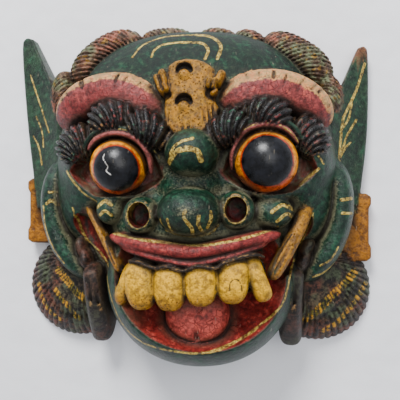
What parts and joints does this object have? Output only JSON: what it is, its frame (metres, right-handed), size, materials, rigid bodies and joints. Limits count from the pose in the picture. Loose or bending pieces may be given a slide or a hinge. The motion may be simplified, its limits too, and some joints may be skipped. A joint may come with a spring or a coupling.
{
  "type": "barong mask",
  "caption": "Carved and painted wooden barong mask with bulging eyes, a wide toothy grin, a gilt crest, curled black brows, tall ears and a hollow back.",
  "frame": {"origin": "centre of the mask's footprint, on the plane its back rim rests on", "axes": "+X to the right as seen from the front, +Y to the crown, +Z out of the face"},
  "size_m": [0.288, 0.2686, 0.117],
  "materials": {
    "painted_wood": "hand-painted green, red, gold, cream and black over carved wood, darkened in the cuts and worn on the edges; bare wood inside"
  },
  "bodies": {
    "root": {"mask": "painted_wood"}
  },
  "joints": []
}
